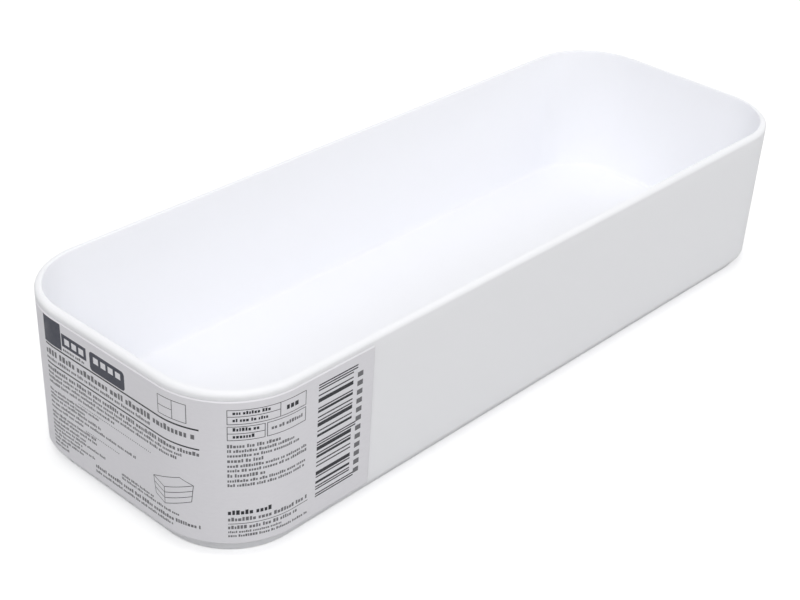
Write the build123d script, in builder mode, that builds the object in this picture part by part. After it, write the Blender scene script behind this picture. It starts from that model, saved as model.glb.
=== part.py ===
# Stackable storage box: one open moulding with a stacking foot, and the label stuck round one end.
# Millimetres. +X runs along the length, +Z is up, and the origin is under the middle of the foot.

import os
from math import radians, tan

from build123d import *

# Overall size of the moulding
box_length = 215.0
box_width = 76.0
box_height = 43.0
corner_radius = 20.4

# Walls and floor
draft_angle = 1.05
wall = 1.8
floor_thickness = 1.8
floor_fillet = 1.3
rim_flat = 0.3
rim_inner_round = 0.3
ledge_round = 0.35

# Stacking foot: a ring under the floor that drops inside the rim of the box below
ledge_height = 2.95
foot_recess = 3.0
foot_thickness = 1.6
foot_round = 0.4
stack_clearance = 0.9

# Gate mark in the middle of the underside
gate_dish_diameter = 9.0
gate_dish_depth = 0.5
gate_stub_diameter = 2.0
gate_stub_height = 0.3

# Label: how far it stays from the rim and the ledge, and where its two ends lie
label_thickness = 0.2
label_top_margin = 2.0
label_bottom_margin = 0.4
label_far_wrap = 25.2
label_side_reach = 44.0
label_corner = 0.5

floor_top = foot_recess + floor_thickness
draft_slope = tan(radians(draft_angle))
foot_inset = wall + stack_clearance
rim_round = wall - rim_flat - rim_inner_round


def rounded_outline(height, inset):
    """Flat rounded outline at a height, inset from the outline of the rim."""
    with BuildSketch(Plane.XY.offset(height)) as outline:
        RectangleRounded(box_length - 2 * inset, box_width - 2 * inset, corner_radius - inset)
    return outline.sketch


def wall_outline(height, depth=0.0):
    """Outline of the drafted wall at a height, at a depth inwards from its outer face."""
    return rounded_outline(height, (box_height - height) * draft_slope + depth)


with BuildPart() as box:
    # Drafted block from the ledge to the rim, and the cavity that leaves the walls and the floor
    loft(sections=[wall_outline(ledge_height), wall_outline(box_height)], ruled=True)
    loft(
        sections=[wall_outline(floor_top, wall), wall_outline(box_height, wall)],
        ruled=True,
        mode=Mode.SUBTRACT,
    )

    # Rounded edges: cavity floor, outside and inside of the rim, and the lower edge of the wall
    fillet(box.edges().filter_by_position(Axis.Z, floor_top, floor_top), radius=floor_fillet)
    fillet(box.faces().sort_by(Axis.Z)[-1].outer_wire().edges(), radius=rim_round)
    fillet(box.faces().sort_by(Axis.Z)[-1].inner_wires()[0].edges(), radius=rim_inner_round)
    fillet(box.edges().filter_by_position(Axis.Z, ledge_height, ledge_height), radius=ledge_round)

    # Stacking foot: a tapered plinth under the ledge, hollowed from below as far as the floor
    with BuildSketch(Plane.XY.offset(ledge_height)):
        add(rounded_outline(ledge_height, foot_inset))
    extrude(amount=-ledge_height, taper=draft_angle)
    with BuildSketch(Plane.XY.offset(foot_recess)):
        add(rounded_outline(foot_recess, foot_inset + foot_thickness))
    extrude(amount=-foot_recess, taper=-draft_angle, mode=Mode.SUBTRACT)
    fillet(box.edges().filter_by_position(Axis.Z, 0, 0), radius=foot_round)

    # Gate mark: a shallow dish with the sprue's stub left standing in it
    with BuildSketch(Plane.XY.offset(foot_recess)):
        Circle(gate_dish_diameter / 2)
    extrude(amount=gate_dish_depth, mode=Mode.SUBTRACT)
    with BuildSketch(Plane.XY.offset(foot_recess + gate_dish_depth)):
        Circle(gate_stub_diameter / 2)
    extrude(amount=-gate_stub_height)
box.part.label = "box"

with BuildPart() as label:
    # Skin on the outside of the whole wall
    label_bottom = ledge_height + label_bottom_margin
    label_top = box_height - label_top_margin
    loft(
        sections=[wall_outline(label_bottom, -label_thickness), wall_outline(label_top, -label_thickness)],
        ruled=True,
    )
    loft(sections=[wall_outline(label_bottom), wall_outline(label_top)], ruled=True, mode=Mode.SUBTRACT)

    # Kept stretch: part of the far corner, the whole end, the near corner and part of the near side
    beyond = corner_radius
    end_x = -box_length / 2
    near_y = -box_width / 2
    corner_x = end_x + corner_radius
    far_corner_y = box_width / 2 - corner_radius
    cut_y = far_corner_y + (corner_radius + beyond) * tan(radians(label_far_wrap))
    with BuildSketch(Plane.XY.offset(label_bottom)):
        with BuildLine():
            Polyline(
                (corner_x, far_corner_y),
                (end_x - beyond, cut_y),
                (end_x - beyond, near_y - beyond),
                (end_x + label_side_reach, near_y - beyond),
                (end_x + label_side_reach, near_y + corner_radius),
                (corner_x, near_y + corner_radius),
                close=True,
            )
        make_face()
    extrude(amount=label_top - label_bottom, mode=Mode.INTERSECT)

    # Rounded corners of the sheet
    fillet(label.edges().filter_by(lambda edge: edge.length < 2 * label_thickness), radius=label_corner)
label.part.label = "label"

os.makedirs("parts", exist_ok=True)
for piece in (box, label):
    export_step(piece.part, f"parts/{piece.part.label}.step")
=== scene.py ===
# Stackable storage box: finely meshed moulding, its wrapped label with plain print, stage and camera.
# Metres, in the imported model's frame: +X along the length, +Z up, origin under the middle of the foot.

from math import atan2, ceil, cos, pi, radians, sin, sqrt, tan
from random import Random

import bpy
from mathutils import Matrix, Vector


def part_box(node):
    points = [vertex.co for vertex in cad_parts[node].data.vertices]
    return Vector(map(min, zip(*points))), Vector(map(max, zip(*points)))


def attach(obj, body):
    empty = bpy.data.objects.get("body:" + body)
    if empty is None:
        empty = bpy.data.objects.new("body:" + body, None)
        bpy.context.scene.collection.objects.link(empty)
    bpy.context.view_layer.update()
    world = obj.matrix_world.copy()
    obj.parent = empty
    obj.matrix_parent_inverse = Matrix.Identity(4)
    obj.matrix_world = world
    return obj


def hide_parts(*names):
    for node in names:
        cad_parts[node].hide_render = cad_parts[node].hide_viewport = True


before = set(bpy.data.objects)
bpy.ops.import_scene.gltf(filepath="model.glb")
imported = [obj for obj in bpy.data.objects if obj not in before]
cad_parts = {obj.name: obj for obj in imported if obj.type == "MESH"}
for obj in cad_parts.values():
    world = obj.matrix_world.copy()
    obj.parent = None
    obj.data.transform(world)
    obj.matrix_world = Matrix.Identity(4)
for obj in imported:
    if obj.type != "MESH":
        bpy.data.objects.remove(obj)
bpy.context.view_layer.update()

MM = 0.001

# Sizes of the moulding, as in the solids
draft_angle = radians(1.05)
draft_slope = tan(draft_angle)
corner_radius = 20.4 * MM
wall = 1.8 * MM
floor_top = 4.8 * MM
floor_fillet = 1.3 * MM
rim_round = 1.2 * MM
rim_inner_round = 0.3 * MM
ledge_round = 0.35 * MM
ledge_height = 2.95 * MM
foot_recess = 3.0 * MM
foot_thickness = 1.6 * MM
foot_round = 0.4 * MM
stack_clearance = 0.9 * MM
foot_inset = wall + stack_clearance
inner_crease = 0.15 * MM
gate_dish_radius = 4.5 * MM
gate_dish_depth = 0.5 * MM
gate_stub_radius = 1.0 * MM
gate_stub_height = 0.3 * MM
gate_round = 0.15 * MM

# Mesh of the moulding: its longest straight run, and how far in from the rim its rounded rings reach
longest_run = 4.5 * MM
floor_ring_inset = 14.0 * MM
underside_ring_inset = 9.0 * MM
gate_apron = 2.0 * MM

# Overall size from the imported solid, whose widest outline lies just under the rounding of the rim
box_low, box_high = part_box("box")
box_height = box_high.z
half_length = (box_high.x - box_low.x) / 2 + draft_slope * rim_round
half_width = (box_high.y - box_low.y) / 2 + draft_slope * rim_round

# Label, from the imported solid
label_low, label_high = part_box("label")
label_far_wrap = radians(25.2)
label_thickness = 0.2 * MM
label_corner = 0.5 * MM
label_bevel = 0.3 * MM
label_gap = 0.01 * MM
ink_thickness = 0.012 * MM

# Stretches of the outline, measured along the rim from the middle of the near corner
half_arc = corner_radius * pi / 4
end_straight = 2 * (half_width - corner_radius)
label_start = -(half_arc + end_straight + corner_radius * label_far_wrap)
label_end = half_arc + label_high.x + half_length - corner_radius


# Mesh helpers

def add_piece(name, verts, faces, material, smooth_angle=35):
    """Links a new mesh object with one material, smooth shaded up to an angle."""
    mesh = bpy.data.meshes.new(name)
    mesh.from_pydata(verts, [], faces)
    mesh.validate()
    mesh.shade_smooth()
    mesh.set_sharp_from_angle(angle=radians(smooth_angle))
    mesh.materials.append(material)
    piece = bpy.data.objects.new(name, mesh)
    bpy.context.scene.collection.objects.link(piece)
    return piece


def rounded_profile(corners, steps=9):
    """Line through (outward, height, radius) corners, with an arc at each corner but the two ends."""
    line = [Vector(corners[0][:2])]
    for before, here, after in zip(corners, corners[1:], corners[2:]):
        point = Vector(here[:2])
        to_before = (Vector(before[:2]) - point).normalized()
        to_after = (Vector(after[:2]) - point).normalized()
        half_turn = (pi - to_before.angle(to_after)) / 2
        bisector = (to_before + to_after).normalized()
        side = (to_after - to_before).normalized()
        radius = here[2]
        centre = point + bisector * radius / cos(half_turn)
        for step in range(steps + 1):
            swing = half_turn * (2 * step / steps - 1)
            line.append(centre - bisector * radius * cos(swing) + side * radius * sin(swing))
    line.append(Vector(corners[-1][:2]))
    return line


def divided(line, longest):
    """The line with its long straight runs divided."""
    points = [line[0]]
    for start, end in zip(line, line[1:]):
        pieces = max(1, ceil((end - start).length / longest))
        for step in range(1, pieces + 1):
            points.append(start.lerp(end, step / pieces))
    return points


def outline_ring(inset, arc_steps=26, long_steps=44, short_steps=10):
    """Points round the rounded rectangle at an inset from the rim outline, as (x, y)."""
    radius = corner_radius - inset
    ring = []
    quarters = (
        (1, -1, -pi / 2, long_steps, (1, 0)),
        (1, 1, 0.0, short_steps, (0, 1)),
        (-1, 1, pi / 2, long_steps, (-1, 0)),
        (-1, -1, pi, short_steps, (0, -1)),
    )
    for sign_x, sign_y, start, straight_steps, along in quarters:
        centre_x = sign_x * (half_length - corner_radius)
        centre_y = sign_y * (half_width - corner_radius)
        run = 2 * (abs(centre_x) if along[0] else abs(centre_y))
        first_x = centre_x + radius * cos(start)
        first_y = centre_y + radius * sin(start)
        for step in range(straight_steps):
            back = run * (1 - step / straight_steps)
            ring.append((first_x - along[0] * back, first_y - along[1] * back))
        for step in range(arc_steps):
            angle = start + pi / 2 * step / arc_steps
            ring.append((centre_x + radius * cos(angle), centre_y + radius * sin(angle)))
    return ring


def swept(rings):
    """Vertices and faces of a closed skin through rings of equal length, capped at both ends."""
    count = len(rings[0])
    verts = [point for ring in rings for point in ring]
    faces = []
    for row in range(len(rings) - 1):
        for column in range(count):
            following = (column + 1) % count
            low = row * count
            high = low + count
            faces.append((low + column, low + following, high + following, high + column))
    last = (len(rings) - 1) * count
    faces.append(tuple(reversed(range(count))))
    faces.append(tuple(range(last, last + count)))
    return verts, faces


def depth_at(height):
    """Inset of the outer wall's face at a height."""
    return (box_height - height) * draft_slope


def wall_point(along, height, out=0.0):
    """Point on the outer wall: distance along the rim outline, height, and distance out of the face."""
    inset = depth_at(height) - out
    radius = corner_radius - inset
    corner_x = corner_radius - half_length
    near_y = corner_radius - half_width
    if along > half_arc:
        return (corner_x + along - half_arc, inset - half_width, height)
    if along >= -half_arc:
        angle = 1.25 * pi + along / corner_radius
        return (corner_x + radius * cos(angle), near_y + radius * sin(angle), height)
    past = -along - half_arc
    if past <= end_straight:
        return (inset - half_length, near_y + past, height)
    angle = pi - (past - end_straight) / corner_radius
    return (corner_x + radius * cos(angle), -near_y + radius * sin(angle), height)


class Sheets:
    """Thin closed sheets on the outer wall, drawn in millimetres along and up the wall, as one mesh."""

    def __init__(self, inner, outer):
        self.inner = inner
        self.outer = outer
        self.verts = []
        self.faces = []

    def grid(self, columns, bevel=0.0):
        """Closed sheet over columns of (along, height) points, its outer face drawn in by a bevel."""
        rows = len(columns[0])
        count = len(columns) * rows
        base = len(self.verts)
        points = [Vector(point) for column in columns for point in column]
        low = Vector((min(p.x for p in points), min(p.y for p in points)))
        high = Vector((max(p.x for p in points), max(p.y for p in points)))
        middle = (low + high) / 2
        shrink = Vector((1 - 2 * bevel / (high.x - low.x), 1 - 2 * bevel / (high.y - low.y)))
        for point in points:
            self.verts.append(wall_point(point.x * MM, point.y * MM, self.inner))
        for point in points:
            drawn_in = middle + (point - middle) * shrink
            self.verts.append(wall_point(drawn_in.x * MM, drawn_in.y * MM, self.outer))
        for i in range(len(columns) - 1):
            for j in range(rows - 1):
                quad = [i * rows + j, (i + 1) * rows + j, (i + 1) * rows + j + 1, i * rows + j + 1]
                self.faces.append([base + count + k for k in quad])
                self.faces.append([base + k for k in reversed(quad)])
        edge = [i * rows for i in range(len(columns))]
        edge += [(len(columns) - 1) * rows + j for j in range(1, rows)]
        edge += [i * rows + rows - 1 for i in reversed(range(len(columns) - 1))]
        edge += reversed(range(1, rows - 1))
        for here, after in zip(edge, edge[1:] + edge[:1]):
            self.faces.append([base + here, base + after, base + count + after, base + count + here])

    def panel(self, left, right, bottom, top, corner=0.0, rows=1, bevel=0.0, longest=1.0):
        """Rectangle on the wall, with rounded corners where a radius is given."""
        stops = [left, right]
        if corner:
            steps = 6
            bends = [corner * (1 - cos(pi / 2 * step / steps)) for step in range(1, steps + 1)]
            stops += [left + bend for bend in bends] + [right - bend for bend in bends]
        stops = sorted(stops)
        alongs = [stops[0]]
        for start, end in zip(stops, stops[1:]):
            pieces = max(1, ceil((end - start) / longest - 1e-6))
            alongs += [start + (end - start) * step / pieces for step in range(1, pieces + 1)]
        columns = []
        for along in alongs:
            gap = corner - min(along - left, right - along)
            rise = corner - sqrt(max(0.0, corner ** 2 - gap ** 2)) if gap > 0 else 0.0
            low = bottom + rise
            high = top - rise
            columns.append([(along, low + (high - low) * row / rows) for row in range(rows + 1)])
        self.grid(columns, bevel)

    def line(self, points, width):
        """Line of a width through (along, height) points, mitred where it turns."""
        points = divided([Vector(point) for point in points], 1.0)
        runs = [(end - start).normalized() for start, end in zip(points, points[1:])]
        columns = []
        for before, point, after in zip(runs[:1] + runs, points, runs + runs[-1:]):
            mean = (before + after).normalized()
            side = Vector((-mean.y, mean.x)) * width / 2 / mean.dot(after)
            columns.append([point - side, point + side])
        self.grid(columns)

    def frame(self, left, right, bottom, top, width):
        """Rectangle drawn in line."""
        self.panel(left, right, top - width, top)
        self.panel(left, right, bottom, bottom + width)
        self.panel(left, left + width, bottom + width, top - width)
        self.panel(right - width, right, bottom + width, top - width)

    def words(self, left, rows, dice):
        """Rows, as (right edge, base line, block height), of plain blocks spaced like letters."""
        letter_gap = 0.3
        word_gap = 0.55
        for right, base, size in rows:
            place = left
            while place < right:
                for block in range(dice.randint(2, 9)):
                    end = place + size * dice.uniform(0.5, 0.95)
                    if end > right:
                        break
                    self.panel(place, end, base, base + size * dice.choice((1.0, 1.0, 1.35)))
                    place = end + size * letter_gap
                place += size * word_gap


# Material helpers

def new_material(name):
    """Node material, its tree and its main shader."""
    material = bpy.data.materials.new(name)
    material.use_nodes = True
    return material, material.node_tree, material.node_tree.nodes["Principled BSDF"]


def noise(tree, scale, detail, squeeze=(1, 1, 1)):
    """Noise in the object's own coordinates, at a number of cells per metre."""
    place = tree.nodes.new("ShaderNodeTexCoord")
    mapping = tree.nodes.new("ShaderNodeMapping")
    mapping.inputs["Scale"].default_value = squeeze
    texture = tree.nodes.new("ShaderNodeTexNoise")
    texture.inputs["Scale"].default_value = scale
    texture.inputs["Detail"].default_value = detail
    tree.links.new(place.outputs["Object"], mapping.inputs["Vector"])
    tree.links.new(mapping.outputs["Vector"], texture.inputs["Vector"])
    return texture.outputs["Fac"]


def tinted(tree, factor, dark, light, socket):
    """Ramp between two colours, driven by a noise."""
    ramp = tree.nodes.new("ShaderNodeValToRGB")
    ramp.color_ramp.elements[0].position = 0.3
    ramp.color_ramp.elements[1].position = 0.7
    ramp.color_ramp.elements[0].color = (*dark, 1)
    ramp.color_ramp.elements[1].color = (*light, 1)
    tree.links.new(factor, ramp.inputs["Fac"])
    tree.links.new(ramp.outputs["Color"], socket)


def ranged(tree, factor, low, high, socket):
    """Noise mapped to a range of values."""
    spread = tree.nodes.new("ShaderNodeMapRange")
    spread.inputs["From Min"].default_value = 0.3
    spread.inputs["From Max"].default_value = 0.7
    spread.inputs["To Min"].default_value = low
    spread.inputs["To Max"].default_value = high
    tree.links.new(factor, spread.inputs["Value"])
    tree.links.new(spread.outputs["Result"], socket)


def bumped(tree, heights, shader):
    """Bumps of (noise, strength, depth), one over the other, on the shader's normal."""
    normal = None
    for factor, strength, depth in heights:
        bump = tree.nodes.new("ShaderNodeBump")
        bump.inputs["Strength"].default_value = strength
        bump.inputs["Distance"].default_value = depth
        tree.links.new(factor, bump.inputs["Height"])
        if normal:
            tree.links.new(normal, bump.inputs["Normal"])
        normal = bump.outputs["Normal"]
    tree.links.new(normal, shader.inputs["Normal"])


# White moulded polypropylene: satin, a little translucent, with a fine grain and faint flow clouds
plastic, tree, shader = new_material("white_polypropylene")
clouds = noise(tree, scale=28, detail=3, squeeze=(0.6, 1, 1))
tinted(tree, clouds, (0.932, 0.940, 0.983), (0.940, 0.948, 0.989), shader.inputs["Base Color"])
ranged(tree, noise(tree, scale=160, detail=4), 0.60, 0.68, shader.inputs["Roughness"])
waves = noise(tree, scale=90, detail=2)
grain = noise(tree, scale=2200, detail=2)
bumped(tree, [(waves, 0.15, 0.05 * MM), (grain, 0.25, 0.012 * MM)], shader)
shader.inputs["IOR"].default_value = 1.49
shader.inputs["Subsurface Weight"].default_value = 0.5
shader.inputs["Subsurface Radius"].default_value = (1.0, 1.0, 1.0)
shader.inputs["Subsurface Scale"].default_value = 2.0 * MM

# Matt label stock with a faint fibre
paper, tree, shader = new_material("label_stock")
fibre = noise(tree, scale=700, detail=5, squeeze=(1, 1, 2.5))
tinted(tree, fibre, (0.820, 0.811, 0.848), (0.840, 0.831, 0.868), shader.inputs["Base Color"])
ranged(tree, noise(tree, scale=260, detail=3), 0.52, 0.62, shader.inputs["Roughness"])
bumped(tree, [(noise(tree, scale=1500, detail=4), 0.2, 0.01 * MM)], shader)
shader.inputs["IOR"].default_value = 1.45


def ink_material(name, dark, light):
    """Printing ink, slightly mottled between two close colours."""
    material, tree, shader = new_material(name)
    tinted(tree, noise(tree, scale=3000, detail=3), dark, light, shader.inputs["Base Color"])
    ranged(tree, noise(tree, scale=900, detail=2), 0.42, 0.55, shader.inputs["Roughness"])
    bumped(tree, [(noise(tree, scale=2500, detail=3), 0.15, 0.005 * MM)], shader)
    shader.inputs["Specular IOR Level"].default_value = 0.2
    return material


# Printed inks
black_ink = ink_material("black_ink", (0.020, 0.021, 0.026), (0.030, 0.031, 0.037))
navy_ink = ink_material("navy_ink", (0.050, 0.054, 0.074), (0.062, 0.066, 0.088))
grey_ink = ink_material("grey_ink", (0.150, 0.150, 0.160), (0.185, 0.185, 0.195))


# Moulding: one skin from the inside floor, over the rim and down to the gate mark underneath
section = rounded_profile([
    (-floor_ring_inset, floor_top, 0),
    (-depth_at(floor_top) - wall, floor_top, floor_fillet),
    (-wall, box_height, rim_inner_round),
    (0, box_height, rim_round),
    (-depth_at(ledge_height), ledge_height, ledge_round),
    (-foot_inset, ledge_height, inner_crease),
    (-foot_inset - ledge_height * draft_slope, 0, foot_round),
    (-foot_inset - foot_thickness + foot_recess * draft_slope, 0, foot_round),
    (-foot_inset - foot_thickness, foot_recess, inner_crease),
    (-underside_ring_inset, foot_recess, 0),
])
rings = []
for outward, height in divided(section, longest_run):
    rings.append([(x, y, height) for x, y in outline_ring(-outward)])

# Underside from the foot ring in to the gate mark, whose rings are circles
gate_top = foot_recess + gate_dish_depth
gate_section = rounded_profile([
    (gate_dish_radius + gate_apron, foot_recess, 0),
    (gate_dish_radius, foot_recess, gate_round),
    (gate_dish_radius, gate_top, gate_round),
    (gate_stub_radius, gate_top, gate_round),
    (gate_stub_radius, gate_top - gate_stub_height, gate_round / 2),
    (gate_stub_radius / 2, gate_top - gate_stub_height, 0),
], steps=4)
outer_ring = rings[-1]
turns = [atan2(y, x) for x, y, height in outer_ring]
first_radius = gate_section[0].x
for share in (0.25, 0.5, 0.75):
    shrunk = []
    for (x, y, height), turn in zip(outer_ring, turns):
        inner_x = first_radius * cos(turn)
        inner_y = first_radius * sin(turn)
        shrunk.append((x + (inner_x - x) * share, y + (inner_y - y) * share, foot_recess))
    rings.append(shrunk)
for radius, height in gate_section:
    rings.append([(radius * cos(turn), radius * sin(turn), height) for turn in turns])

box = add_piece("storage_box", *swept(rings), plastic)
weighted = box.modifiers.new("weighted_normals", "WEIGHTED_NORMAL")
weighted.keep_sharp = True
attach(box, "root")
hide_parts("box")

# Label sheet, its edges bevelled so that they catch the light
label = Sheets(label_gap, label_thickness)
label.panel(
    label_start / MM, label_end / MM, label_low.z / MM, label_high.z / MM,
    corner=label_corner / MM, rows=12, bevel=label_bevel / MM, longest=0.8,
)
sheet = add_piece("label_sheet", label.verts, label.faces, paper, smooth_angle=20)
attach(sheet, "root")
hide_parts("label")

# Print in millimetres along and up the wall: plain tags, rules, blocks and stripes
black = Sheets(label_thickness - ink_thickness, label_thickness + ink_thickness)
navy = Sheets(label_thickness - ink_thickness, label_thickness + ink_thickness)
grey = Sheets(label_thickness - ink_thickness, label_thickness + ink_thickness)
pale = Sheets(label_thickness, label_thickness + 2 * ink_thickness)
dice = Random(7)
hairline = 0.14
end_left = -54.8
end_right = -5.6
side_left = 0.3

# Tags along the top of the end, the smaller two with pale blocks
tag_bottom = 33.7
tag_block_pitch = 2.5
tag_block_width = 1.7
tag_block_bottom = 36.0
tag_block_top = 37.6
navy.panel(-55.0, -48.6, tag_bottom, 40.6)
navy.panel(-48.3, -39.7, 35.2, 38.5)
navy.panel(-38.5, -26.7, tag_bottom, 38.6, corner=0.9)
for left, count in ((-47.3, 3), (-37.2, 4)):
    for block in range(count):
        start = left + tag_block_pitch * block
        pale.panel(start, start + tag_block_width, tag_block_bottom, tag_block_top)

# Heading between two rules, and the small print under it
black.panel(end_left, end_right, 33.0, 33.4)
black.panel(end_left, end_right, 28.0, 28.35)
grey.words(-48.1, [(-39.9, 34.0, 0.55)], dice)
grey.words(end_left, [(end_right, 30.6, 1.15), (-18.7, 29.15, 0.6)], dice)
grey.words(end_left, [(end_right, 26.4, 0.75), (-9.0, 25.2, 0.55)], dice)
grey.words(end_left, [(-10.8, 24.0, 0.55), (-31.0, 22.7, 0.55)], dice)
grey.words(end_left, [(-36.8, 20.6, 0.5), (-42.0, 19.5, 0.5), (-36.0, 18.4, 0.55)], dice)
grey.words(end_left, [(-24.3, 17.1, 0.55), (-42.5, 15.9, 0.5), (-38.3, 14.3, 0.55)], dice)
grey.words(end_left, [(-38.0, 13.2, 0.55), (-42.5, 11.9, 0.5), (-35.5, 10.8, 0.5)], dice)
grey.words(end_left, [(-43.5, 9.7, 0.5), (-39.5, 8.6, 0.5), (-43.5, 7.5, 0.5)], dice)
grey.words(end_left, [(-49.3, 6.4, 0.5), (-49.3, 5.3, 0.5)], dice)
grey.words(-29.9, [(-18.7, 9.7, 0.5), (-10.4, 8.7, 0.5)], dice)
grey.words(-39.3, [(end_right, 6.8, 0.7), (-12.8, 5.5, 0.5)], dice)
dot_pitch = 0.6
dot_width = 0.28
dot_half_height = 0.12
for start, end, height in ((-44.0, -18.7, 21.75), (-42.0, -30.0, 15.35)):
    for dot in range(int((end - start) / dot_pitch)):
        left = start + dot_pitch * dot
        grey.panel(left, left + dot_width, height - dot_half_height, height + dot_half_height)

# Divided square
square_left = -15.8
square_right = -8.3
square_bottom = 34.2
square_top = 39.0
square_upright = -11.9
square_shelf = 36.4
black.frame(square_left, square_right, square_bottom, square_top, hairline)
black.panel(square_upright, square_upright + hairline, square_bottom + hairline, square_top - hairline)
black.panel(square_left + hairline, square_upright, square_shelf, square_shelf + hairline)

# Small drawing of stacked trays
tray_count = 3
tray_depth = 1.5
tray_lean = 0.12
tray_left = Vector((-18.5, 16.2))
tray_front = Vector((-15.1, 14.9))
tray_right = Vector((-7.2, 18.3))
tray_back = Vector((-10.6, 19.4))
black.line([tray_left, tray_front, tray_right, tray_back, tray_left], hairline)
for tray in range(1, tray_count + 1):
    drop = tray_depth * tray
    fall = Vector((0, drop))
    taper = Vector((tray_lean * drop, 0))
    black.line([tray_left - fall + taper, tray_front - fall, tray_right - fall - taper], hairline)
stack_depth = tray_depth * tray_count
for top, lean in ((tray_left, tray_lean), (tray_front, 0.0), (tray_right, -tray_lean)):
    black.line([top, top + Vector((lean * stack_depth, -stack_depth))], hairline)

# Ruled boxes on the side, each with blocks
boxes_right = 18.8
upper_bottom = 35.3
upper_top = 39.0
upper_upright = 11.8
upper_shelf = 37.2
lower_bottom = 31.2
lower_top = 34.8
lower_shelf = 32.9
lower_split_left = 8.4
lower_split_right = 8.8
black.frame(side_left, boxes_right, upper_bottom, upper_top, hairline)
black.panel(upper_upright, upper_upright + hairline, upper_bottom + hairline, upper_top - hairline)
black.panel(side_left + hairline, upper_upright, upper_shelf, upper_shelf + hairline)
black.frame(side_left, lower_split_left, lower_bottom, lower_top, hairline)
black.panel(side_left + hairline, lower_split_left - hairline, lower_shelf, lower_shelf + hairline)
black.frame(lower_split_right, boxes_right, lower_bottom, lower_top, hairline)
black.words(1.5, [(9.6, 37.8, 0.6), (9.0, 36.0, 0.6), (7.3, 33.6, 0.65), (6.2, 31.8, 0.65)], dice)
black.words(13.4, [(17.6, 36.5, 1.1)], dice)
grey.words(9.8, [(17.9, 32.7, 0.65)], dice)

# Small print on the side, and the lines at its foot
grey.words(side_left, [(12.0, 29.3, 0.65), (16.0, 28.1, 0.55), (17.2, 26.9, 0.55)], dice)
grey.words(side_left, [(8.3, 25.5, 0.65), (19.4, 24.2, 0.55), (19.4, 23.0, 0.55)], dice)
grey.words(side_left, [(8.6, 21.6, 0.65), (19.2, 20.3, 0.55), (19.4, 19.1, 0.55)], dice)
black.words(side_left, [(10.2, 11.5, 0.9)], dice)
side_right = 20.2
side_rule = 8.95
black.panel(side_left, side_right, side_rule, side_rule + hairline)
grey.words(side_left, [(side_right, 9.75, 0.75), (17.8, 7.6, 0.7)], dice)
grey.words(side_left, [(12.8, 6.5, 0.45), (side_right, 5.4, 0.5)], dice)

# Stripes with widths and gaps in two short cycles, and longer pairs at the ends and in the middle
stripe_left = 22.5
stripe_right = 33.0
stripe_long = 34.3
stripe_bottom = 8.4
stripe_top = 38.5
stripe_widths = (1, 2, 1, 1, 3)
stripe_gaps = (2, 1, 3, 2, 4, 1, 3)
stripe_count = 26
longer = (0, 1, 12, 13, 24, 25)
widths = [1 if k in longer else stripe_widths[k % len(stripe_widths)] for k in range(stripe_count)]
gaps = [1 if k in longer else stripe_gaps[k % len(stripe_gaps)] for k in range(stripe_count - 1)]
module = (stripe_top - stripe_bottom) / (sum(widths) + sum(gaps))
top = stripe_top
for k, (width, gap) in enumerate(zip(widths, gaps + [0])):
    black.panel(stripe_left, stripe_long if k in longer else stripe_right, top - width * module, top)
    top -= (width + gap) * module

# Column of small blocks beside the stripes
block_left = 34.3
block_right = 36.0
block_height = 1.3
block_pitch = 2.35
blocks_in_run = 6
for start in (8.9, 23.2):
    for row in range(blocks_in_run):
        low = start + block_pitch * row
        grey.panel(block_left, block_right, low, low + block_height)

for name, sheets, material in (
    ("label_print_black", black, black_ink),
    ("label_print_navy", navy, navy_ink),
    ("label_print_grey", grey, grey_ink),
    ("label_print_pale", pale, paper),
):
    piece = add_piece(name, sheets.verts, sheets.faces, material)
    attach(piece, "root")


# Stage helpers

def seen_directly(tree):
    """Socket at 1 for camera, glossy and transmission rays, and at 0 for light going to the object."""
    path = tree.nodes.new("ShaderNodeLightPath")
    seen = path.outputs["Is Camera Ray"]
    for kind in ("Is Glossy Ray", "Is Transmission Ray"):
        either = tree.nodes.new("ShaderNodeMath")
        either.operation = "MAXIMUM"
        tree.links.new(seen, either.inputs[0])
        tree.links.new(path.outputs[kind], either.inputs[1])
        seen = either.outputs[0]
    return seen


def chosen(tree, seen, otherwise, when_seen, socket):
    """Gives a socket one level for light on its way to the object, and another where it is seen."""
    level = tree.nodes.new("ShaderNodeMapRange")
    level.inputs["To Min"].default_value = otherwise
    level.inputs["To Max"].default_value = when_seen
    tree.links.new(seen, level.inputs["Value"])
    tree.links.new(level.outputs["Result"], socket)


# Floor: pale, keeps the shadow, reads white away from the object, and is see-through from underneath
floor_bounce = 0.36
floor_seen = 1.0
floor_glow = 0.21
floor_reach = 3.0
floor_drop = -0.02 * MM
floor_material = bpy.data.materials.new("pale_floor")
floor_material.use_nodes = True
tree = floor_material.node_tree
tree.nodes.clear()
seen = seen_directly(tree)
matt = tree.nodes.new("ShaderNodeBsdfDiffuse")
chosen(tree, seen, floor_bounce, floor_seen, matt.inputs["Color"])
glow = tree.nodes.new("ShaderNodeEmission")
chosen(tree, seen, 0.0, floor_glow, glow.inputs["Strength"])
lit = tree.nodes.new("ShaderNodeAddShader")
tree.links.new(matt.outputs[0], lit.inputs[0])
tree.links.new(glow.outputs[0], lit.inputs[1])
clear = tree.nodes.new("ShaderNodeBsdfTransparent")
side = tree.nodes.new("ShaderNodeNewGeometry")
surface = tree.nodes.new("ShaderNodeMixShader")
tree.links.new(side.outputs["Backfacing"], surface.inputs["Fac"])
tree.links.new(lit.outputs[0], surface.inputs[1])
tree.links.new(clear.outputs[0], surface.inputs[2])
output = tree.nodes.new("ShaderNodeOutputMaterial")
tree.links.new(surface.outputs[0], output.inputs["Surface"])
corners = ((-1, -1), (1, -1), (1, 1), (-1, 1))
floor_corners = [(x * floor_reach, y * floor_reach, floor_drop) for x, y in corners]
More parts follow.
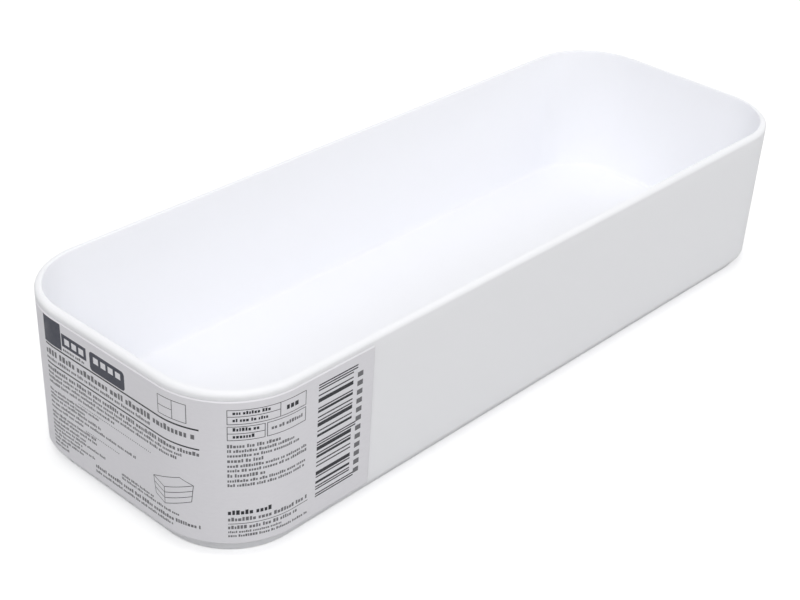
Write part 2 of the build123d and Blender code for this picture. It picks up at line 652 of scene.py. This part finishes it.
floor = add_piece("floor", floor_corners, [(0, 1, 2, 3)], floor_material)

# World: white where it is seen, a plain fill otherwise
world_fill = 0.50
world = bpy.data.worlds.new("studio")
bpy.context.scene.world = world
world.use_nodes = True
tree = world.node_tree
background = tree.nodes["Background"]
background.inputs["Color"].default_value = (1, 1, 1, 1)
chosen(tree, seen_directly(tree), world_fill, 1.0, background.inputs["Strength"])


def soft_light(name, place, target, size, power):
    """Square area lamp at a place, turned to a target."""
    lamp = bpy.data.lights.new(name, "AREA")
    lamp.shape = "SQUARE"
    lamp.size = size
    lamp.energy = power
    holder = bpy.data.objects.new(name, lamp)
    holder.location = place
    holder.rotation_euler = (Vector(target) - Vector(place)).to_track_quat("-Z", "Y").to_euler()
    bpy.context.scene.collection.objects.link(holder)


middle = (0, 0, 0.02)
soft_light("front", (-1.0, -0.9, 1.3), middle, size=0.9, power=12.0)
soft_light("right", (0.9, -1.35, 0.8), middle, size=0.9, power=4.7)
soft_light("left", (-0.75, 0.45, 1.5), middle, size=1.2, power=1.8)
soft_light("above", (0, 0, 1.4), middle, size=1.0, power=2.5)
soft_light("back", (1.2, 1.3, 0.6), middle, size=0.9, power=2.6)

# Camera at the photograph's viewing angle
azimuth = radians(-48.418)
elevation = radians(31.059)
roll = radians(2.989)
distance = 375.69 * MM
aim = Vector((-41.127, -24.498, 37.111)) * MM
back = Vector((sin(azimuth) * cos(elevation), -cos(azimuth) * cos(elevation), sin(elevation)))
level_x = Vector((0, 0, 1)).cross(back).normalized()
level_y = back.cross(level_x)
camera_x = cos(roll) * level_x + sin(roll) * level_y
camera_y = cos(roll) * level_y - sin(roll) * level_x
camera = bpy.data.objects.new("camera", bpy.data.cameras.new("camera"))
camera.data.sensor_width = 36.0
camera.data.lens = 73.217
camera.data.clip_start = 0.01
turned = Matrix((camera_x, camera_y, back)).transposed().to_4x4()
camera.matrix_world = Matrix.Translation(aim + back * distance) @ turned
bpy.context.scene.collection.objects.link(camera)
bpy.context.scene.camera = camera
bpy.context.scene.view_settings.view_transform = "Standard"
